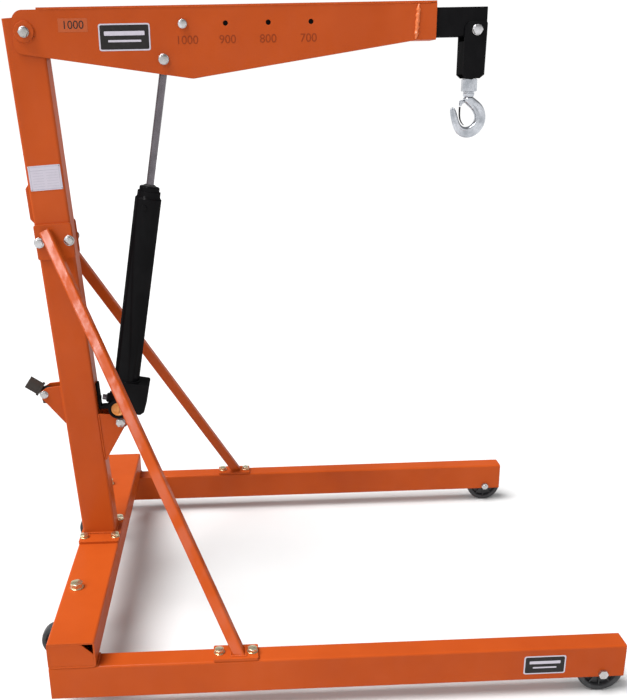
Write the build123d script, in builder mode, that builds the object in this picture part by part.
from build123d import *
from math import atan2, cos, hypot, radians, sin
import os

# Fixed-leg workshop engine crane: low legs on wheels, a leaning mast, a long-ram jack and a tapered boom.
# X points forward along the legs, Y to the left and Z up, and the floor is Z = 0. Side outlines are drawn
# on planes whose local x runs forward from the rear edge of the cross base and whose local y is the height.

# ---------------------------------------------------------------- driving dimensions (mm)
LEG_LENGTH = 1250
LEG_HEIGHT = 80
LEG_WIDTH = 50
LEG_WALL = 4
LEG_UNDERSIDE = 42
LEG_SPACING = 950

BASE_DEPTH = 102
BASE_HEIGHT = 60
BASE_WALL = 4
BASE_CORNER_CUT = 25

WHEEL_RADIUS = 52
WHEEL_WIDTH = 32
WHEEL_INSET = 47
AXLE_RADIUS = 6
WHEEL_SLOT_LENGTH = 112

CASTER_RADIUS = 44
CASTER_WIDTH = 28
CASTER_TRAIL = 50
CASTER_AXLE_RADIUS = 5
FORK_PLATE = 4
FORK_GAP = 3
FORK_HEAD_Z = 110
FORK_HEAD_RADIUS = 27
CASTER_STEM_X = 30
CASTER_STEM_Y = 280
CASTER_STEM_RADIUS = 8
STEM_WASHER_RADIUS = 15.5
STEM_WASHER = 2.5
STEM_HEAD = 12

PLATE = 6
MAST_DEPTH = 84
MAST_WIDTH = 60
MAST_WALL = 5
MAST_LENGTH = 1256
MAST_LEAN = 3.3
MAST_FOOT_X = 48
MAST_PLATE_WIDTH = 150

PIVOT_X = -17.5
PIVOT_Z = 1411
PIVOT_RADIUS = 6.5
BOOM_TOP = 1456
BOOM_FLANGE = 4
BOOM_PLATE = 5
BOOM_INNER_HALF = 31
BOOM_REAR = -43
BOOM_SLEEVE_X = 838
BOOM_END = 882
BOOM_DEEP_X = 341
BOOM_DEEP_Z = 1308.6
BOOM_NOSE_Z = 1380
BOOM_HEEL_Z = 1368
BOOM_PLATE_START_X = 11
HEEL_PLATE_START_X = 112
HEEL_PLATE_END_X = 205
NOSE_PLATE_START = 24
BOSS_THICKNESS = 6
BOSS_RADIUS = 21
JACK_PIN_X = 280.6
JACK_PIN_Z = 1350
JACK_PIN_RADIUS = 6.5
LOCK_X = 325
LOCK_Z = 1422
LOCK_PITCH = 93.5
LOCK_RADIUS = 5.5
LOCK_HOLES = 4

EXTENSION_BOTTOM = 1386
EXTENSION_HEIGHT = 61
EXTENSION_WIDTH = 50
EXTENSION_WALL = 4
EXTENSION_REAR = 312
EXTENSION_FRONT = 997
SLIDE_GAP = 0.5

HANGER_X = 974
HANGER_BOLT_Z = 1399
HANGER_REAR = 947
HANGER_FRONT = 997
HANGER_BOTTOM = 1297
HANGER_TOP = 1417
HANGER_REAR_WEB_TOP = 1376
HANGER_FRONT_WEB_TOP = 1370
HANGER_FLOOR = 10
HOOK_X = 970
HOOK_SHANK_RADIUS = 9
HOOK_SHANK_TOP = 1257
HOOK_THICKNESS = 17
SWIVEL_BOTTOM = 1268.5
LATCH_X = 953.5
LATCH_Z = 1246.5
LATCH_PIN_RADIUS = 2
LATCH_LUG = 5
LATCH_HALF = 6
LATCH_THICKNESS = 2.5

JACK_X = 125
JACK_Z = 497
BARREL_RADIUS = 31
BARREL_WALL = 4
BARREL_START = 106
BARREL_END = 560
CAP_END = 585
ROD_RADIUS = 9
PISTON_START = 262
PISTON_LENGTH = 25
EYE_TRAVEL = 20
EYE_PLAY = 6
EAR_PLATE = 6
EAR_LUG_RADIUS = 15
LUG_RADIUS = 18
BASE_BLOCK_HALF = 34
PUMP_UP = 50
PUMP_BORE = 7
VALVE_RADIUS = 18
VALVE_ACROSS = -9
VALVE_UP = 38
EYE_WALL = 6
EYE_WIDTH = 24
FILLER_ACROSS = -5
FILLER_UP = 538
FILLER_RADIUS = 5
FILLER_DEPTH = 3

PUSH_ROD_Z = 555
PUSH_ROD_RADIUS = 6
PUSH_ROD_REAR = -47
PUSH_ROD_FRONT = 77
GUIDE_HALF = 11
HANDLE_PIVOT_X = -60
HANDLE_PIVOT_Z = 573
HANDLE_BOLT_RADIUS = 5
HANDLE_ANGLE = 145.6
BRACKET_OUTER = 21
BRACKET_PLATE = 5
LEVER_HALF = 12
COLLAR_START = 12
SOCKET_RADIUS = 16
SOCKET_BORE = 12
SOCKET_LENGTH = 50
SOCKET_DEPTH = 36

BRACE_SIZE = 25
BRACE_WALL = 2.5
BRACE_TOP_X = -12
BRACE_TOP_Z = 979
BRACE_FOOT_X = 406
BRACE_PLATE_HEIGHT = 82
BRACE_PLATE_WIDTH = 86
BRACE_PLATE_UP = 768
BRACE_BOLT_HALF = 35
BRACE_BOLT_RADIUS = 6
FOOT_PLATE_X = 400
FOOT_PLATE_LENGTH = 97
FOOT_BOLT_HALF = 36
FOOT_BOLT_PITCH_X = 79
FOOT_BOLT_PITCH_Y = 96
SMALL_BOLT_RADIUS = 6

RUNNING_FIT = 0.05
SIDE_GAP = 0.3

# ---------------------------------------------------------------- derived places
LEG_TOP = LEG_UNDERSIDE + LEG_HEIGHT
BASE_TOP = LEG_TOP + BASE_HEIGHT
LEG_Y = LEG_SPACING / 2
OUTER_Y = LEG_Y + LEG_WIDTH / 2
END_INSET = BASE_WALL + 2 * SIDE_GAP
END_FRONT = BASE_DEPTH - END_INSET
END_TOP = BASE_TOP - END_INSET
MAST_FOOT_Z = BASE_TOP + PLATE
MAST_SIDE = MAST_WIDTH / 2
MAST_REAR = -MAST_DEPTH / 2
MAST_FRONT = MAST_DEPTH / 2
BRACE_TOP_Y = MAST_SIDE + PLATE + 9
BRACE_BORE = BRACE_SIZE - 2 * BRACE_WALL
BOOM_OUTER_HALF = BOOM_INNER_HALF + BOOM_PLATE
BOOM_WIDTH = 2 * BOOM_OUTER_HALF
BOSS_OUTER = BOOM_OUTER_HALF + BOSS_THICKNESS
EXTENSION_TOP = EXTENSION_BOTTOM + EXTENSION_HEIGHT
EXTENSION_SIDE = EXTENSION_WIDTH / 2
EXTENSION_MID_Z = EXTENSION_BOTTOM + EXTENSION_HEIGHT / 2
EXTENSION_BORE = (EXTENSION_WIDTH - 2 * EXTENSION_WALL, EXTENSION_HEIGHT - 2 * EXTENSION_WALL)
HANGER_INNER = EXTENSION_SIDE + 2 * SIDE_GAP
HANGER_OUTER = HANGER_INNER + PLATE
WHEEL_X = LEG_LENGTH - WHEEL_INSET

JACK_POINT = (JACK_X, JACK_Z)
JACK_LEAN = atan2(JACK_PIN_X - JACK_X, JACK_PIN_Z - JACK_Z)
JACK_LENGTH = hypot(JACK_PIN_X - JACK_X, JACK_PIN_Z - JACK_Z)
MAST_TILT = radians(MAST_LEAN)
SOCKET_TILT = radians(HANDLE_ANGLE)

# The socket's mouth is the rearmost point and the front wheels reach furthest forward.
SOCKET_MOUTH_X = HANDLE_PIVOT_X + SOCKET_LENGTH * cos(SOCKET_TILT) - SOCKET_RADIUS * sin(SOCKET_TILT)
CENTRE_X = (SOCKET_MOUTH_X + WHEEL_X + WHEEL_RADIUS) / 2


# ---------------------------------------------------------------- planes and shared shapes
def side_plane(y):
    """Upright plane at a width: local x forward from the base's rear edge, local y up, facing right."""
    return Plane(origin=(-CENTRE_X, y, 0), x_dir=(1, 0, 0), z_dir=(0, -1, 0))


def level_plane(z):
    """Level plane at a height, with its local x measured from the base's rear edge."""
    return Plane(origin=(-CENTRE_X, 0, z))


def cross_plane(x):
    """Upright plane facing forward: local x to the left, local y up."""
    return Plane(origin=(x - CENTRE_X, 0, 0), x_dir=(0, 1, 0), z_dir=(1, 0, 0))


def mast_plane(y):
    """Side plane that leans with the mast: local x is the mast's front-to-back line, local y runs up it."""
    forward = (cos(MAST_TILT), 0, sin(MAST_TILT))
    return Plane(origin=(MAST_FOOT_X - CENTRE_X, y, MAST_FOOT_Z), x_dir=forward, z_dir=(0, -1, 0))


def jack_plane(y):
    """Side plane that leans with the jack: local y runs up the jack's axis from its lower pivot."""
    across = (cos(JACK_LEAN), 0, -sin(JACK_LEAN))
    return Plane(origin=(JACK_X - CENTRE_X, y, JACK_Z), x_dir=across, z_dir=(0, -1, 0))


def socket_plane(y):
    """Side plane whose local x runs out along the handle socket from the handle pivot."""
    outward = (cos(SOCKET_TILT), 0, sin(SOCKET_TILT))
    return Plane(origin=(HANDLE_PIVOT_X - CENTRE_X, y, HANDLE_PIVOT_Z), x_dir=outward, z_dir=(0, -1, 0))


def jack_axis():
    return Axis((JACK_X - CENTRE_X, 0, JACK_Z), (sin(JACK_LEAN), 0, cos(JACK_LEAN)))


def spread(plane, points):
    """The same plane moved to each of a few local points."""
    return [plane.shift_origin(plane.from_local_coords(Vector(x, y, 0))) for x, y in points]


pieces = []


def keep(piece, name):
    piece.part.label = name
    pieces.append(piece)


def through_bolts(name, places, radius, grip, washer=2.0, washer_scale=0.59):
    """Hex bolts: washer and head above the plane, shank down through the grip, then a washer and a nut."""
    head = radius * 1.25
    nut = head * 1.1
    across = radius * 3.0
    with BuildPart() as bolts:
        for place in places:
            with BuildSketch(place.offset(washer)):
                RegularPolygon(across / 2, 6, major_radius=False)
            extrude(amount=head)
            for washer_place in (place, place.offset(-grip - washer)):
                with BuildSketch(washer_place):
                    Circle(across * washer_scale)
                extrude(amount=washer)
            with BuildSketch(place.offset(washer)):
                Circle(radius)
            extrude(amount=-(grip + washer * 3 + nut * 1.5))
            with BuildSketch(place.offset(-grip - washer)):
                RegularPolygon(across / 2, 6, major_radius=False)
            extrude(amount=-nut)
    keep(bolts, name)


def tapped_bolts(name, places, grip, washer=1.6):
    """Small hex bolts with a head and washer, screwed straight into the wall below the grip."""
    with BuildPart() as bolts:
        for place in places:
            with BuildSketch(place):
                Circle(SMALL_BOLT_RADIUS * 1.9)
            extrude(amount=washer)
            with BuildSketch(place.offset(washer)):
                RegularPolygon(SMALL_BOLT_RADIUS * 1.58, 6, major_radius=False)
            extrude(amount=SMALL_BOLT_RADIUS * 1.25)
            with BuildSketch(place):
                Circle(SMALL_BOLT_RADIUS)
            extrude(amount=-grip)
    keep(bolts, name)


SIDES = {"right": -1, "left": 1}

# ---------------------------------------------------------------- legs, cross base and mast foot
for side, sign in SIDES.items():
    with BuildPart() as leg:
        with BuildSketch(cross_plane(0)):
            with Locations((sign * LEG_Y, LEG_UNDERSIDE + LEG_HEIGHT / 2)):
                RectangleRounded(LEG_WIDTH, LEG_HEIGHT, 5)
                RectangleRounded(LEG_WIDTH - 2 * LEG_WALL, LEG_HEIGHT - 2 * LEG_WALL, 2, mode=Mode.SUBTRACT)
        extrude(amount=LEG_LENGTH)
        # The underside is cut away at the front for the wheel.
        with BuildSketch(level_plane(LEG_UNDERSIDE)):
            with Locations((LEG_LENGTH - WHEEL_SLOT_LENGTH / 2, sign * LEG_Y)):
                Rectangle(WHEEL_SLOT_LENGTH, LEG_WIDTH - 2 * LEG_WALL)
        extrude(amount=LEG_WALL + 1, mode=Mode.SUBTRACT)
        with BuildSketch(side_plane(sign * OUTER_Y)):
            with Locations((WHEEL_X, WHEEL_RADIUS)):
                Circle(AXLE_RADIUS + RUNNING_FIT)
        extrude(amount=LEG_WIDTH, both=True, mode=Mode.SUBTRACT)
        # A welded cap closes the rear end.
        with BuildSketch(cross_plane(0)):
            with Locations((sign * LEG_Y, LEG_UNDERSIDE + LEG_HEIGHT / 2)):
                Rectangle(LEG_WIDTH - LEG_WALL, LEG_HEIGHT - LEG_WALL)
        extrude(amount=LEG_WALL)
    keep(leg, f"leg_{side}")

with BuildPart() as cross_base:
    with BuildSketch(side_plane(OUTER_Y)):
        with Locations((BASE_DEPTH / 2, LEG_TOP + BASE_HEIGHT / 2)):
            RectangleRounded(BASE_DEPTH, BASE_HEIGHT, 5)
            RectangleRounded(BASE_DEPTH - 2 * BASE_WALL, BASE_HEIGHT - 2 * BASE_WALL, 2, mode=Mode.SUBTRACT)
    extrude(amount=2 * OUTER_Y)
    with BuildSketch(level_plane(LEG_TOP)):
        with Locations(*[(CASTER_STEM_X, sign * CASTER_STEM_Y) for sign in SIDES.values()]):
            Circle(CASTER_STEM_RADIUS)
    extrude(amount=BASE_HEIGHT, mode=Mode.SUBTRACT)
    with BuildSketch(level_plane(BASE_TOP)):
        with Locations((BASE_DEPTH / 2, 0)):
            with GridLocations(FOOT_BOLT_PITCH_X, FOOT_BOLT_PITCH_Y, 2, 2):
                Circle(SMALL_BOLT_RADIUS)
    extrude(amount=-BASE_WALL, mode=Mode.SUBTRACT)
keep(cross_base, "cross_base")

with BuildPart() as end_plates:
    for sign in SIDES.values():
        with BuildSketch(side_plane(sign * OUTER_Y)):
            with BuildLine():
                Polyline(
                    (END_INSET, LEG_TOP + END_INSET),
                    (END_FRONT, LEG_TOP + END_INSET),
                    (END_FRONT, END_TOP - BASE_CORNER_CUT),
                    (END_FRONT - BASE_CORNER_CUT, END_TOP),
                    (END_INSET, END_TOP),
                    close=True,
                )
            make_face()
        extrude(amount=sign * BASE_WALL)
keep(end_plates, "cross_base_end_plates")

with BuildPart() as mast_foot:
    with BuildSketch(level_plane(BASE_TOP)):
        with Locations((BASE_DEPTH / 2, 0)):
            RectangleRounded(BASE_DEPTH, MAST_PLATE_WIDTH, 4)
            with GridLocations(FOOT_BOLT_PITCH_X, FOOT_BOLT_PITCH_Y, 2, 2):
                Circle(SMALL_BOLT_RADIUS, mode=Mode.SUBTRACT)
    extrude(amount=PLATE)
keep(mast_foot, "mast_base_plate")

FOOT_BOLTS = [
    (BASE_DEPTH / 2 + i * FOOT_BOLT_PITCH_X / 2, j * FOOT_BOLT_PITCH_Y / 2)
    for i in (-1, 1)
    for j in (-1, 1)
]
tapped_bolts("mast_base_bolts", spread(level_plane(MAST_FOOT_Z), FOOT_BOLTS), PLATE + BASE_WALL)

# ---------------------------------------------------------------- mast
MAST_FORWARD = (cos(MAST_TILT), 0, sin(MAST_TILT))
MAST_UP = (-sin(MAST_TILT), 0, cos(MAST_TILT))
MAST_AXIS_PLANE = Plane(origin=(MAST_FOOT_X - CENTRE_X, 0, MAST_FOOT_Z), x_dir=MAST_FORWARD, z_dir=MAST_UP)
MAST_REAR_PLANE, MAST_FRONT_PLANE = [
    Plane(origin=mast_plane(0).from_local_coords(Vector(face, 0, 0)), z_dir=MAST_FORWARD)
    for face in (MAST_REAR, MAST_FRONT)
]
with BuildPart() as mast:
    with BuildSketch(MAST_AXIS_PLANE.offset(-PLATE)):
        RectangleRounded(MAST_DEPTH, MAST_WIDTH, 6)
    extrude(amount=MAST_LENGTH + PLATE)
    with BuildSketch(MAST_AXIS_PLANE.offset(-PLATE)):
        RectangleRounded(MAST_DEPTH - 2 * MAST_WALL, MAST_WIDTH - 2 * MAST_WALL, 2)
    extrude(amount=MAST_LENGTH + PLATE - MAST_WALL, mode=Mode.SUBTRACT)
    split(bisect_by=Plane.XY.offset(MAST_FOOT_Z), keep=Keep.TOP)
    with BuildSketch(side_plane(0)):
        with Locations((PIVOT_X, PIVOT_Z)):
            Circle(PIVOT_RADIUS + RUNNING_FIT)
    extrude(amount=MAST_WIDTH, both=True, mode=Mode.SUBTRACT)
    with BuildSketch(mast_plane(0)):
        with Locations((-BRACE_BOLT_HALF, BRACE_PLATE_UP), (BRACE_BOLT_HALF, BRACE_PLATE_UP)):
            Circle(BRACE_BOLT_RADIUS)
    extrude(amount=MAST_WIDTH, both=True, mode=Mode.SUBTRACT)
    # The push rod passes through both the front and the rear wall.
    with BuildSketch(cross_plane(0)):
        with Locations((0, PUSH_ROD_Z)):
            Circle(PUSH_ROD_RADIUS + 2)
    extrude(amount=2 * MAST_DEPTH, both=True, mode=Mode.SUBTRACT)
keep(mast, "mast")

# ---------------------------------------------------------------- braces and their plates
for side, sign in SIDES.items():
    outer = sign * (MAST_SIDE + PLATE)
    with BuildPart() as mast_plate:
        with BuildSketch(mast_plane(sign * MAST_SIDE)):
            with Locations((0, BRACE_PLATE_UP)):
                RectangleRounded(BRACE_PLATE_WIDTH, BRACE_PLATE_HEIGHT, 5)
            with Locations((-BRACE_BOLT_HALF, BRACE_PLATE_UP), (BRACE_BOLT_HALF, BRACE_PLATE_UP)):
                Circle(BRACE_BOLT_RADIUS, mode=Mode.SUBTRACT)
        extrude(amount=-sign * PLATE)
    keep(mast_plate, f"brace_mast_plate_{side}")

    top = Vector(BRACE_TOP_X - CENTRE_X, sign * BRACE_TOP_Y, BRACE_TOP_Z)
    foot = Vector(BRACE_FOOT_X - CENTRE_X, sign * LEG_Y, LEG_TOP + PLATE)
    along = (foot - top).normalized()
    face_side = along.cross(Vector(0, sign, 0)).normalized()
    with BuildPart() as brace:
        with BuildSketch(Plane(origin=top, x_dir=face_side, z_dir=along)):
            RectangleRounded(BRACE_SIZE, BRACE_SIZE, 4)
            RectangleRounded(BRACE_BORE, BRACE_BORE, 1.5, mode=Mode.SUBTRACT)
        extrude(amount=(foot - top).length + BRACE_SIZE)
        split(bisect_by=Plane.XY.offset(LEG_TOP + PLATE), keep=Keep.TOP)
        split(bisect_by=Plane(origin=(0, outer, 0), z_dir=(0, sign, 0)), keep=Keep.TOP)
    keep(brace, f"brace_{side}")

    with BuildPart() as foot_plate:
        with BuildSketch(level_plane(LEG_TOP)):
            with Locations((FOOT_PLATE_X, sign * LEG_Y)):
                RectangleRounded(FOOT_PLATE_LENGTH, LEG_WIDTH, 4)
                with GridLocations(2 * FOOT_BOLT_HALF, 1, 2, 1):
                    Circle(SMALL_BOLT_RADIUS, mode=Mode.SUBTRACT)
        extrude(amount=PLATE)
    keep(foot_plate, f"brace_foot_plate_{side}")

MAST_BOLTS = [(-BRACE_BOLT_HALF, BRACE_PLATE_UP), (BRACE_BOLT_HALF, BRACE_PLATE_UP)]
BOLTED_WIDTH = MAST_WIDTH + 2 * PLATE
BRACE_BOLT_PLACES = spread(mast_plane(-BOLTED_WIDTH / 2), MAST_BOLTS)
through_bolts("brace_mast_bolts", BRACE_BOLT_PLACES, BRACE_BOLT_RADIUS, BOLTED_WIDTH, washer_scale=0.68)

FOOT_PLATE_BOLTS = [
    (FOOT_PLATE_X + shift, sign * LEG_Y)
    for sign in SIDES.values()
    for shift in (-FOOT_BOLT_HALF, FOOT_BOLT_HALF)
]
tapped_bolts("brace_foot_bolts", spread(level_plane(LEG_TOP + PLATE), FOOT_PLATE_BOLTS), PLATE)

# ---------------------------------------------------------------- small parts on the mast
with BuildPart() as rear_pad:
    with BuildSketch(mast_plane(22)):
        with BuildLine():
            Polyline(
                (MAST_REAR, 812),
                (MAST_REAR - 8, 822),
                (MAST_REAR - 8, 892),
                (MAST_REAR, 902),
                close=True,
            )
        make_face()
    extrude(amount=44)
keep(rear_pad, "mast_rear_pad")

with BuildPart() as data_plate:
    with BuildSketch(mast_plane(-MAST_SIDE)):
        with Locations((1, 914)):
            RectangleRounded(74, 56, 2)
    extrude(amount=0.8)
keep(data_plate, "blank_data_plate")

with BuildPart() as guide:
    with BuildSketch(mast_plane(GUIDE_HALF)):
        with BuildLine():
            Polyline(
                (MAST_FRONT, 336),
                (MAST_FRONT + 24, 336),
                (MAST_FRONT + 24, 344),
                (MAST_FRONT + 6, 344),
                (MAST_FRONT + 6, 404),
                (MAST_FRONT, 404),
                close=True,
            )
        make_face()
    extrude(amount=2 * GUIDE_HALF)
    with BuildSketch(cross_plane(0)):
        with Locations((0, PUSH_ROD_Z)):
            Circle(PUSH_ROD_RADIUS + 1)
    extrude(amount=2 * MAST_DEPTH, mode=Mode.SUBTRACT)
keep(guide, "push_rod_guide")

with BuildPart() as jack_ears:
    for sign in SIDES.values():
        with BuildSketch(side_plane(sign * MAST_SIDE)):
            with BuildLine():
                Polyline((70, 520), (106, 516), JACK_POINT, (135, 486), (82, 396), (70, 396), close=True)
            make_face()
            with Locations(JACK_POINT):
                Circle(EAR_LUG_RADIUS)
                Circle(JACK_PIN_RADIUS, mode=Mode.SUBTRACT)
        extrude(amount=sign * EAR_PLATE)
    # The plates butt against the mast's leaning front face.
    split(bisect_by=MAST_FRONT_PLANE, keep=Keep.TOP)
keep(jack_ears, "jack_bracket_plates")

through_bolts("jack_pivot_bolt", spread(side_plane(-MAST_SIDE), [JACK_POINT]), JACK_PIN_RADIUS, MAST_WIDTH)

with BuildPart() as handle_bracket:
    for sign in SIDES.values():
        with BuildSketch(side_plane(sign * BRACKET_OUTER)):
            with BuildLine():
                Polyline(
                    (-10, 594),
                    (HANDLE_PIVOT_X + 8, 590),
                    (HANDLE_PIVOT_X - 8, 580),
                    (HANDLE_PIVOT_X - 6, 562),
                    (-14, 496),
                    (-5, 496),
                    close=True,
                )
            make_face()
            with Locations((HANDLE_PIVOT_X, HANDLE_PIVOT_Z)):
                Circle(10)
                Circle(HANDLE_BOLT_RADIUS, mode=Mode.SUBTRACT)
        extrude(amount=sign * BRACKET_PLATE)
    split(bisect_by=MAST_REAR_PLANE, keep=Keep.BOTTOM)
keep(handle_bracket, "handle_bracket_plates")

through_bolts(
    "handle_pivot_bolt",
    spread(side_plane(-BRACKET_OUTER), [(HANDLE_PIVOT_X, HANDLE_PIVOT_Z)]),
    HANDLE_BOLT_RADIUS,
    2 * BRACKET_OUTER,
    washer=1.5,
    washer_scale=0.68,
)

# ---------------------------------------------------------------- boom
HOLE_X = [LOCK_X + i * LOCK_PITCH for i in range(LOCK_HOLES)]

for side, sign in SIDES.items():
    with BuildPart() as boom_side:
        with BuildSketch(side_plane(sign * BOOM_OUTER_HALF)):
            with BuildLine():
                FilletPolyline(
                    (BOOM_REAR, BOOM_TOP),
                    (BOOM_SLEEVE_X, BOOM_TOP),
                    (BOOM_SLEEVE_X, BOOM_NOSE_Z),
                    (BOOM_DEEP_X, BOOM_DEEP_Z),
                    (BOOM_REAR, BOOM_HEEL_Z),
                    close=True,
                    radius=(24, 0.01, 0.01, 14, 22),
                )
            make_face()
            with Locations((PIVOT_X, PIVOT_Z)):
                Circle(PIVOT_RADIUS + RUNNING_FIT, mode=Mode.SUBTRACT)
            with Locations((JACK_PIN_X, JACK_PIN_Z)):
                Circle(JACK_PIN_RADIUS, mode=Mode.SUBTRACT)
            with Locations(*[(x, LOCK_Z) for x in HOLE_X]):
                Circle(LOCK_RADIUS, mode=Mode.SUBTRACT)
        extrude(amount=sign * BOOM_PLATE)
    keep(boom_side, f"boom_side_plate_{side}")

with BuildPart() as boom_top:
    with BuildSketch(level_plane(BOOM_TOP)):
        with Locations(((BOOM_PLATE_START_X + BOOM_END) / 2, 0)):
            RectangleRounded(BOOM_END - BOOM_PLATE_START_X, 2 * BOOM_OUTER_HALF, 2)
    extrude(amount=BOOM_FLANGE)
keep(boom_top, "boom_top_plate")

# Two plates close the underside, one on each slope, with the jack's opening between them.
NOSE_SLOPE = (BOOM_NOSE_Z - BOOM_DEEP_Z) / (BOOM_SLEEVE_X - BOOM_DEEP_X)
HEEL_SLOPE = (BOOM_DEEP_Z - BOOM_HEEL_Z) / (BOOM_DEEP_X - BOOM_REAR)
UNDERSIDES = (
    (HEEL_PLATE_START_X, HEEL_PLATE_END_X, BOOM_REAR, BOOM_HEEL_Z, HEEL_SLOPE),
    (BOOM_DEEP_X + NOSE_PLATE_START, BOOM_SLEEVE_X, BOOM_DEEP_X, BOOM_DEEP_Z, NOSE_SLOPE),
)
with BuildPart() as boom_bottom:
    for start_x, end_x, corner_x, corner_z, slope in UNDERSIDES:
        start_z = corner_z + (start_x - corner_x) * slope
        end_z = corner_z + (end_x - corner_x) * slope
        with BuildSketch(side_plane(BOOM_INNER_HALF)):
            with BuildLine():
                Polyline(
                    (start_x, start_z),
                    (end_x, end_z),
                    (end_x, end_z + BOOM_PLATE),
                    (start_x, start_z + BOOM_PLATE),
                    close=True,
                )
            make_face()
        extrude(amount=2 * BOOM_INNER_HALF)
keep(boom_bottom, "boom_bottom_plates")

with BuildPart() as sleeve:
    with BuildSketch(cross_plane(BOOM_SLEEVE_X)):
        with Locations((0, (BOOM_NOSE_Z + BOOM_TOP) / 2)):
            RectangleRounded(2 * BOOM_OUTER_HALF, BOOM_TOP - BOOM_NOSE_Z, 3)
        with Locations((0, EXTENSION_MID_Z)):
            Rectangle(EXTENSION_WIDTH + 2 * SLIDE_GAP, EXTENSION_HEIGHT + 2 * SLIDE_GAP, mode=Mode.SUBTRACT)
    extrude(amount=BOOM_END - BOOM_SLEEVE_X)
keep(sleeve, "boom_end_sleeve")

with BuildPart() as bosses:
    for sign in SIDES.values():
        with BuildSketch(side_plane(sign * BOSS_OUTER)):
            with Locations((PIVOT_X, PIVOT_Z)):
                Circle(BOSS_RADIUS)
                Circle(PIVOT_RADIUS + RUNNING_FIT, mode=Mode.SUBTRACT)
        extrude(amount=sign * BOSS_THICKNESS)
keep(bosses, "boom_pivot_bosses")

PIVOT_GRIP = 2 * (BOSS_OUTER + SIDE_GAP)
PIVOT_PLACES = spread(side_plane(-PIVOT_GRIP / 2), [(PIVOT_X, PIVOT_Z)])
through_bolts("boom_pivot_bolt", PIVOT_PLACES, PIVOT_RADIUS, PIVOT_GRIP)

JACK_TOP_PLACES = spread(side_plane(-BOOM_OUTER_HALF), [(JACK_PIN_X, JACK_PIN_Z)])
through_bolts("jack_top_bolt", JACK_TOP_PLACES, JACK_PIN_RADIUS, BOOM_WIDTH)

LOCK_PLACES = spread(side_plane(-BOOM_OUTER_HALF), [(LOCK_X, LOCK_Z)])
through_bolts("extension_lock_bolt", LOCK_PLACES, LOCK_RADIUS, BOOM_WIDTH)

# ---------------------------------------------------------------- extension, hanger and hook
with BuildPart() as extension:
    with BuildSketch(cross_plane(EXTENSION_REAR)):
        with Locations((0, EXTENSION_MID_Z)):
            RectangleRounded(EXTENSION_WIDTH, EXTENSION_HEIGHT, 4)
            RectangleRounded(*EXTENSION_BORE, 1, mode=Mode.SUBTRACT)
    extrude(amount=EXTENSION_FRONT - EXTENSION_REAR)
    # The lock bolt lies in a notch that is open to the rear.
    with BuildSketch(side_plane(0)):
        with Locations((LOCK_X, LOCK_Z)):
            Circle(LOCK_RADIUS + SLIDE_GAP)
        with Locations((LOCK_X - 15, LOCK_Z)):
            Rectangle(30, 2 * (LOCK_RADIUS + SLIDE_GAP))
        with Locations((HANGER_X, HANGER_BOLT_Z)):
            Circle(JACK_PIN_RADIUS)
    extrude(amount=EXTENSION_WIDTH, both=True, mode=Mode.SUBTRACT)
    with BuildSketch(cross_plane(EXTENSION_FRONT)):
        with Locations((0, EXTENSION_MID_Z)):
            Rectangle(EXTENSION_WIDTH - EXTENSION_WALL, EXTENSION_HEIGHT - EXTENSION_WALL)
    extrude(amount=-EXTENSION_WALL)
keep(extension, "boom_extension")

with BuildPart() as hanger:
    for sign in SIDES.values():
        with BuildSketch(side_plane(sign * HANGER_OUTER)):
            with BuildLine():
                FilletPolyline(
                    (HANGER_REAR, HANGER_BOTTOM + 8),
                    (HANGER_REAR + 9, HANGER_BOTTOM),
                    (HANGER_FRONT - 12, HANGER_BOTTOM),
                    (HANGER_FRONT - 2, HANGER_BOTTOM + 8),
                    (HANGER_FRONT, HANGER_TOP),
                    (HANGER_REAR + 8, HANGER_TOP),
                    (HANGER_REAR, HANGER_TOP - 12),
                    close=True,
                    radius=(1, 1, 1, 1, 6, 6, 6),
                )
            make_face()
            with Locations((HANGER_X, HANGER_BOLT_Z)):
                Circle(JACK_PIN_RADIUS + RUNNING_FIT, mode=Mode.SUBTRACT)
        extrude(amount=sign * PLATE)
    with BuildSketch(level_plane(HANGER_BOTTOM)):
        with Locations(((HANGER_REAR + HANGER_FRONT) / 2 - 1, 0)):
            Rectangle(HANGER_FRONT - HANGER_REAR - 22, 2 * HANGER_INNER)
        with Locations((HOOK_X, 0)):
            Circle(HOOK_SHANK_RADIUS + RUNNING_FIT, mode=Mode.SUBTRACT)
    extrude(amount=HANGER_FLOOR)
    # A front web and a rear web join the side plates below the extension.
    web_start = HANGER_BOTTOM + HANGER_FLOOR - 1
    webs = ((HANGER_REAR + 2.5, HANGER_REAR_WEB_TOP), (HANGER_FRONT - 4.5, HANGER_FRONT_WEB_TOP))
    for web_x, web_top in webs:
        with BuildSketch(level_plane(web_start)):
            with Locations((web_x, 0)):
                Rectangle(5, 2 * HANGER_INNER)
        extrude(amount=web_top - web_start)
keep(hanger, "hook_hanger")

HANGER_GRIP = 2 * (HANGER_OUTER + SIDE_GAP)
HANGER_BOLT_PLACES = spread(side_plane(-HANGER_GRIP / 2), [(HANGER_X, HANGER_BOLT_Z)])
through_bolts("hanger_bolt", HANGER_BOLT_PLACES, JACK_PIN_RADIUS, HANGER_GRIP)

SWIVEL_TOP = HANGER_BOTTOM - SIDE_GAP
with BuildPart() as swivel:
    with BuildSketch(level_plane(SWIVEL_BOTTOM)):
        with Locations((HOOK_X, 0)):
            RegularPolygon(16, 6, major_radius=False)
    extrude(amount=SWIVEL_TOP - SWIVEL_BOTTOM)
    with BuildSketch(level_plane(SWIVEL_TOP)):
        with Locations((HOOK_X, 0)):
            Circle(HOOK_SHANK_RADIUS)
    extrude(amount=24)
    with BuildSketch(level_plane(HANGER_BOTTOM + HANGER_FLOOR + SIDE_GAP)):
        with Locations((HOOK_X, 0)):
            RegularPolygon(13, 6, major_radius=False)
    extrude(amount=12)
keep(swivel, "hook_swivel_nut")

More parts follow.
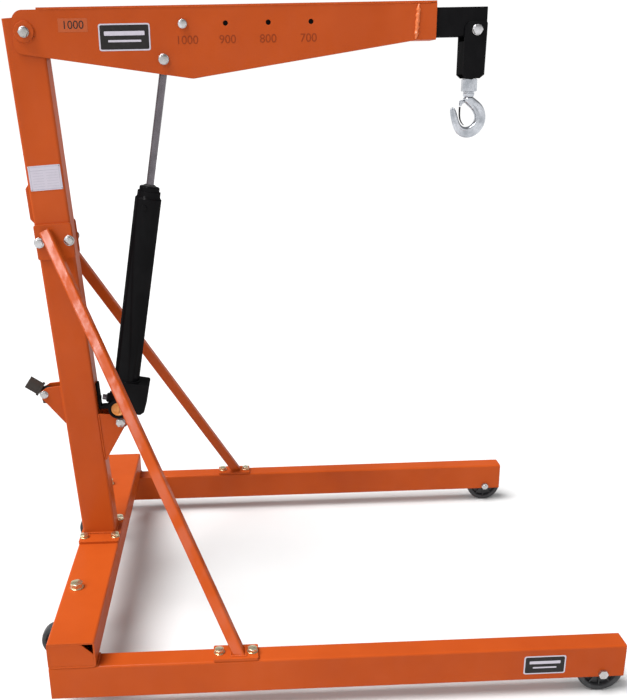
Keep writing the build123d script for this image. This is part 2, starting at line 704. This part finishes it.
with BuildPart() as collar:
    with BuildSketch(level_plane(HOOK_SHANK_TOP)):
        with Locations((HOOK_X, 0)):
            Circle(13)
    extrude(amount=SWIVEL_BOTTOM - HOOK_SHANK_TOP)
    chamfer(collar.edges().filter_by(GeomType.CIRCLE).sort_by(Axis.Z)[0], 2)
keep(collar, "hook_collar")

with BuildPart() as hook:
    with BuildSketch(side_plane(HOOK_THICKNESS / 2)):
        with BuildLine():
            outer = Spline(
                (HOOK_X + 12, HOOK_SHANK_TOP),
                (997, 1246),
                (1012, 1223),
                (1012, 1195),
                (995, 1171.5),
                (970, 1163.5),
                (946, 1174),
                (935, 1195),
                (931, 1214),
                (927, 1226),
            )
            tip = ThreePointArc(outer @ 1, (934, 1235), (942.5, 1228))
            inner = Spline(
                tip @ 1,
                (948, 1212),
                (954, 1196),
                (966, 1190.5),
                (981, 1197.5),
                (987, 1212),
                (982, 1226),
                (973, 1234.5),
                (962, 1241),
                (HOOK_X - 13, 1249),
                (HOOK_X - 12, HOOK_SHANK_TOP),
            )
            Line(inner @ 1, outer @ 0)
        make_face()
    extrude(amount=HOOK_THICKNESS)
    chamfer(hook.faces().filter_by(Axis.Y).edges().filter_by(GeomType.BSPLINE), 4.5)
    # A thin lug on the neck carries the latch pin.
    with BuildSketch(side_plane(LATCH_LUG / 2)):
        with BuildLine():
            Polyline((964, 1253), (953, 1251), (949.5, 1247), (952, 1242.5), (964, 1241), close=True)
        make_face()
    extrude(amount=LATCH_LUG)
    with BuildSketch(side_plane(LATCH_HALF)):
        with Locations((LATCH_X, LATCH_Z)):
            Circle(LATCH_PIN_RADIUS)
    extrude(amount=2 * LATCH_HALF)
keep(hook, "hook")

LATCH_LINE = [(-1, -3), (-2.5, -18), (-2, -33), (3, -46), (8, -51.5)]
with BuildPart() as latch:
    with BuildSketch(side_plane(LATCH_HALF)):
        # A curved strip runs from the pin down the inside of the tip to the bowl.
        with BuildLine():
            rear, front = [
                Spline(*[(LATCH_X + x + half, LATCH_Z + z) for x, z in LATCH_LINE])
                for half in (-LATCH_THICKNESS / 2, LATCH_THICKNESS / 2)
            ]
            Line(rear @ 0, front @ 0)
            Line(rear @ 1, front @ 1)
        make_face()
        with Locations((LATCH_X, LATCH_Z)):
            Circle(2 * LATCH_PIN_RADIUS)
            Circle(LATCH_PIN_RADIUS + RUNNING_FIT, mode=Mode.SUBTRACT)
    extrude(amount=2 * LATCH_HALF)
    # The upper end is forked round the lug.
    with BuildSketch(level_plane(LATCH_Z - 8)):
        with Locations((LATCH_X, 0)):
            Rectangle(20, LATCH_LUG + 0.8)
    extrude(amount=20, mode=Mode.SUBTRACT)
keep(latch, "hook_latch")

# ---------------------------------------------------------------- jack
filler_centre = jack_plane(0).from_local_coords(Vector(FILLER_ACROSS, FILLER_UP, 0))
filler_face = Plane(
    origin=filler_centre - Vector(0, BARREL_RADIUS, 0),
    x_dir=(1, 0, 0),
    z_dir=(0, -1, 0),
)
with BuildPart() as barrel:
    with BuildSketch(jack_plane(0)):
        with BuildLine():
            Polyline(
                (BARREL_RADIUS - BARREL_WALL, BARREL_START),
                (BARREL_RADIUS, BARREL_START),
                (BARREL_RADIUS, BARREL_END - 3),
                (BARREL_RADIUS - 3, BARREL_END),
                (BARREL_RADIUS - BARREL_WALL, BARREL_END),
                close=True,
            )
        make_face()
    revolve(axis=jack_axis())
    with BuildSketch(filler_face):
        Circle(FILLER_RADIUS)
    extrude(amount=-FILLER_DEPTH, mode=Mode.SUBTRACT)
keep(barrel, "jack_cylinder")

with BuildPart() as cap:
    with BuildSketch(jack_plane(0)):
        with BuildLine():
            Polyline(
                (ROD_RADIUS + RUNNING_FIT, BARREL_END),
                (BARREL_RADIUS - 3, BARREL_END),
                (27, BARREL_END + 4),
                (27, BARREL_END + 14),
                (23.5, BARREL_END + 15),
                (23.5, CAP_END - 2),
                (21.5, CAP_END),
                (ROD_RADIUS + RUNNING_FIT, CAP_END),
                close=True,
            )
        make_face()
    revolve(axis=jack_axis())
keep(cap, "jack_gland_cap")

with BuildPart() as jack_base:
    with BuildSketch(jack_plane(BASE_BLOCK_HALF)):
        with BuildLine():
            FilletPolyline(
                (-24, 28),
                (-24, BARREL_START),
                (57, BARREL_START),
                (55, 36),
                (46, 27),
                (10, 27),
                close=True,
                radius=(4, 4, 5, 5, 5, 5),
            )
        make_face()
    extrude(amount=2 * BASE_BLOCK_HALF)
    # The lug hangs between the bracket plates.
    lug_half = MAST_SIDE - EAR_PLATE - 2 * SIDE_GAP
    with BuildSketch(jack_plane(lug_half)):
        with BuildLine():
            Polyline((-17, 0), (17, 0), (26, 34), (-20, 34), close=True)
        make_face()
        Circle(LUG_RADIUS)
    extrude(amount=2 * lug_half)
    with BuildSketch(jack_plane(0)):
        Circle(JACK_PIN_RADIUS + RUNNING_FIT)
    extrude(amount=2 * BASE_BLOCK_HALF, both=True, mode=Mode.SUBTRACT)
    # A round boss on the right side holds the release valve.
    with BuildSketch(jack_plane(-BASE_BLOCK_HALF)):
        with Locations((VALVE_ACROSS, VALVE_UP)):
            Circle(VALVE_RADIUS + 6)
            Circle(VALVE_RADIUS + SIDE_GAP, mode=Mode.SUBTRACT)
    extrude(amount=11)
    with BuildSketch(jack_plane(-BASE_BLOCK_HALF + 4)):
        with Locations((VALVE_ACROSS, VALVE_UP)):
            Circle(VALVE_RADIUS + 6)
    extrude(amount=4)
keep(jack_base, "jack_base_block")

with BuildPart() as valve:
    with BuildSketch(jack_plane(-BASE_BLOCK_HALF - SIDE_GAP)):
        with Locations((VALVE_ACROSS, VALVE_UP)):
            Circle(VALVE_RADIUS)
    extrude(amount=9)
    chamfer(valve.edges().filter_by(GeomType.CIRCLE).sort_by(Axis.Y)[0], 2)
keep(valve, "release_valve_knob")

pump_face = Plane(
    origin=jack_plane(0).from_local_coords(Vector(-24, PUMP_UP, 0)),
    x_dir=(0, 1, 0),
    z_dir=(-cos(JACK_LEAN), 0, sin(JACK_LEAN)),
)
with BuildPart() as pump:
    with BuildSketch(pump_face):
        RegularPolygon(15, 6, major_radius=False)
        Circle(PUMP_BORE + RUNNING_FIT, mode=Mode.SUBTRACT)
    extrude(amount=14)
    with BuildSketch(pump_face.offset(14)):
        Circle(12)
        Circle(PUMP_BORE + RUNNING_FIT, mode=Mode.SUBTRACT)
    extrude(amount=4)
keep(pump, "pump_body")

with BuildPart() as plunger:
    with BuildSketch(pump_face.offset(12.5)):
        Circle(PUMP_BORE)
    extrude(amount=17.5)
keep(plunger, "pump_plunger")

with BuildPart() as filler:
    with BuildSketch(filler_face.offset(-FILLER_DEPTH)):
        Circle(FILLER_RADIUS)
    extrude(amount=2 * FILLER_DEPTH)
keep(filler, "oil_filler_plug")

ROD_START = PISTON_START + PISTON_LENGTH
ROD_END = JACK_LENGTH - JACK_PIN_RADIUS - EYE_PLAY - 6
with BuildPart() as rod:
    with BuildSketch(jack_plane(0)):
        with BuildLine():
            Polyline(
                (0, ROD_START),
                (ROD_RADIUS, ROD_START),
                (ROD_RADIUS, ROD_END),
                (0, ROD_END),
                close=True,
            )
        make_face()
    revolve(axis=jack_axis())
keep(rod, "piston_rod")

with BuildPart() as piston:
    with BuildSketch(jack_plane(0)):
        with BuildLine():
            Polyline(
                (0, PISTON_START),
                (BARREL_RADIUS - BARREL_WALL - RUNNING_FIT, PISTON_START),
                (BARREL_RADIUS - BARREL_WALL - RUNNING_FIT, PISTON_START + PISTON_LENGTH),
                (0, PISTON_START + PISTON_LENGTH),
                close=True,
            )
        make_face()
    revolve(axis=jack_axis())
keep(piston, "ram_piston")

# The eye's slot lets the boom's bolt drift to and fro as the boom swings.
SLOT_HALF = JACK_PIN_RADIUS + EYE_PLAY
with BuildPart() as rod_eye:
    with BuildSketch(jack_plane(EYE_WIDTH / 2)):
        with Locations((0, JACK_LENGTH)):
            SlotOverall(2 * (EYE_TRAVEL + SLOT_HALF + EYE_WALL), 2 * (SLOT_HALF + EYE_WALL))
            SlotOverall(2 * (EYE_TRAVEL + SLOT_HALF), 2 * SLOT_HALF, mode=Mode.SUBTRACT)
    extrude(amount=EYE_WIDTH)
keep(rod_eye, "rod_eye")

# ---------------------------------------------------------------- push rod and handle socket
with BuildPart() as push_rod:
    with BuildSketch(cross_plane(PUSH_ROD_REAR)):
        with Locations((0, PUSH_ROD_Z)):
            Circle(PUSH_ROD_RADIUS)
    extrude(amount=PUSH_ROD_FRONT - PUSH_ROD_REAR)
    chamfer(push_rod.edges().filter_by(GeomType.CIRCLE), 1)
keep(push_rod, "push_rod")

socket_axis = Plane(
    origin=socket_plane(0).from_local_coords(Vector(COLLAR_START, 0, 0)),
    x_dir=(0, 1, 0),
    z_dir=(cos(SOCKET_TILT), 0, sin(SOCKET_TILT)),
)
with BuildPart() as socket:
    with BuildSketch(side_plane(LEVER_HALF)):
        with Locations((HANDLE_PIVOT_X, HANDLE_PIVOT_Z)):
            Circle(13)
        with BuildLine():
            Polyline(
                (HANDLE_PIVOT_X - 10, HANDLE_PIVOT_Z - 6),
                (HANDLE_PIVOT_X - 6, PUSH_ROD_Z - 8),
                (PUSH_ROD_REAR - 2.5, PUSH_ROD_Z - 8),
                (PUSH_ROD_REAR - 2.5, PUSH_ROD_Z + 6),
                (HANDLE_PIVOT_X + 10, HANDLE_PIVOT_Z + 6),
                close=True,
            )
        make_face()
    extrude(amount=2 * LEVER_HALF)
    with BuildSketch(socket_axis):
        Circle(SOCKET_RADIUS + 3)
    extrude(amount=6)
    with BuildSketch(socket_axis):
        Circle(SOCKET_RADIUS)
    extrude(amount=SOCKET_LENGTH - COLLAR_START)
    with BuildSketch(socket_axis.offset(SOCKET_LENGTH - COLLAR_START)):
        Circle(SOCKET_BORE)
    extrude(amount=-SOCKET_DEPTH, mode=Mode.SUBTRACT)
    with BuildSketch(side_plane(0)):
        with Locations((HANDLE_PIVOT_X, HANDLE_PIVOT_Z)):
            Circle(HANDLE_BOLT_RADIUS + RUNNING_FIT)
    extrude(amount=3 * LEVER_HALF, both=True, mode=Mode.SUBTRACT)
keep(socket, "handle_socket")

# ---------------------------------------------------------------- wheels and casters
for side, sign in SIDES.items():
    with BuildPart() as wheel:
        with BuildSketch(side_plane(sign * LEG_Y + WHEEL_WIDTH / 2)):
            with Locations((WHEEL_X, WHEEL_RADIUS)):
                Circle(WHEEL_RADIUS)
                Circle(AXLE_RADIUS + RUNNING_FIT, mode=Mode.SUBTRACT)
        extrude(amount=WHEEL_WIDTH)
        rims = wheel.edges().filter_by(GeomType.CIRCLE).sort_by(SortBy.RADIUS)[-2:]
        chamfer(rims, 3)
    keep(wheel, f"front_wheel_{side}")

    stem = (CASTER_STEM_X, sign * CASTER_STEM_Y)
    wheel_x = CASTER_STEM_X - CASTER_TRAIL
    fork_outer = CASTER_WIDTH / 2 + FORK_GAP + FORK_PLATE
    with BuildPart() as fork:
        with BuildSketch(level_plane(FORK_HEAD_Z)):
            with Locations(stem):
                Circle(FORK_HEAD_RADIUS)
                Circle(CASTER_STEM_RADIUS + RUNNING_FIT, mode=Mode.SUBTRACT)
        extrude(amount=LEG_TOP - SIDE_GAP - FORK_HEAD_Z)
        for cheek in (-1, 1):
            with BuildSketch(side_plane(sign * CASTER_STEM_Y + cheek * fork_outer)):
                with BuildLine():
                    Polyline(
                        (CASTER_STEM_X - 24, FORK_HEAD_Z + 2),
                        (CASTER_STEM_X + 24, FORK_HEAD_Z + 2),
                        (wheel_x + 13, CASTER_RADIUS - 8),
                        (wheel_x - 9, CASTER_RADIUS - 8),
                        (wheel_x - 12, CASTER_RADIUS + 8),
                        close=True,
                    )
                make_face()
                with Locations((wheel_x, CASTER_RADIUS)):
                    Circle(12)
                    Circle(CASTER_AXLE_RADIUS, mode=Mode.SUBTRACT)
            extrude(amount=cheek * FORK_PLATE)
    keep(fork, f"caster_fork_{side}")

    with BuildPart() as caster_wheel:
        with BuildSketch(side_plane(sign * CASTER_STEM_Y + CASTER_WIDTH / 2)):
            with Locations((wheel_x, CASTER_RADIUS)):
                Circle(CASTER_RADIUS)
                Circle(CASTER_AXLE_RADIUS + RUNNING_FIT, mode=Mode.SUBTRACT)
        extrude(amount=CASTER_WIDTH)
        rims = caster_wheel.edges().filter_by(GeomType.CIRCLE).sort_by(SortBy.RADIUS)[-2:]
        chamfer(rims, 4)
    keep(caster_wheel, f"caster_wheel_{side}")

    with BuildPart() as caster_axle:
        with BuildSketch(side_plane(sign * CASTER_STEM_Y + fork_outer)):
            with Locations((wheel_x, CASTER_RADIUS)):
                Circle(CASTER_AXLE_RADIUS)
        extrude(amount=2 * fork_outer)
        for cheek in (-1, 1):
            with BuildSketch(side_plane(sign * CASTER_STEM_Y + cheek * fork_outer)):
                with Locations((wheel_x, CASTER_RADIUS)):
                    RegularPolygon(8, 6, major_radius=False)
            extrude(amount=-cheek * 5)
    keep(caster_axle, f"caster_axle_{side}")

with BuildPart() as axle_bolts:
    for sign in SIDES.values():
        outward = Plane(origin=(WHEEL_X - CENTRE_X, sign * OUTER_Y, WHEEL_RADIUS), z_dir=(0, sign, 0))
        with BuildSketch(outward):
            RegularPolygon(9.5, 6, major_radius=False)
        extrude(amount=7)
        with BuildSketch(outward):
            Circle(AXLE_RADIUS)
        extrude(amount=-(LEG_WIDTH + 10))
        with BuildSketch(outward.offset(-LEG_WIDTH)):
            RegularPolygon(9.5, 6, major_radius=False)
        extrude(amount=-8)
keep(axle_bolts, "front_axle_bolts")

CASTER_STEMS = [(CASTER_STEM_X, sign * CASTER_STEM_Y) for sign in SIDES.values()]
with BuildPart() as stem_bolts:
    for place in spread(level_plane(BASE_TOP), CASTER_STEMS):
        with BuildSketch(place):
            Circle(STEM_WASHER_RADIUS)
        extrude(amount=STEM_WASHER)
        with BuildSketch(place.offset(STEM_WASHER)):
            RegularPolygon(13, 6, major_radius=False)
        extrude(amount=STEM_HEAD)
        with BuildSketch(place):
            Circle(CASTER_STEM_RADIUS)
        extrude(amount=-(BASE_HEIGHT + 14))
        with BuildSketch(place.offset(-(BASE_HEIGHT + LEG_TOP - FORK_HEAD_Z + SIDE_GAP))):
            Circle(13)
        extrude(amount=-4)
keep(stem_bolts, "caster_stem_bolts")

# ---------------------------------------------------------------- files
os.makedirs("parts", exist_ok=True)
for piece in pieces:
    export_step(piece.part, f"parts/{piece.part.label}.step")
print(len(pieces), "pieces written")
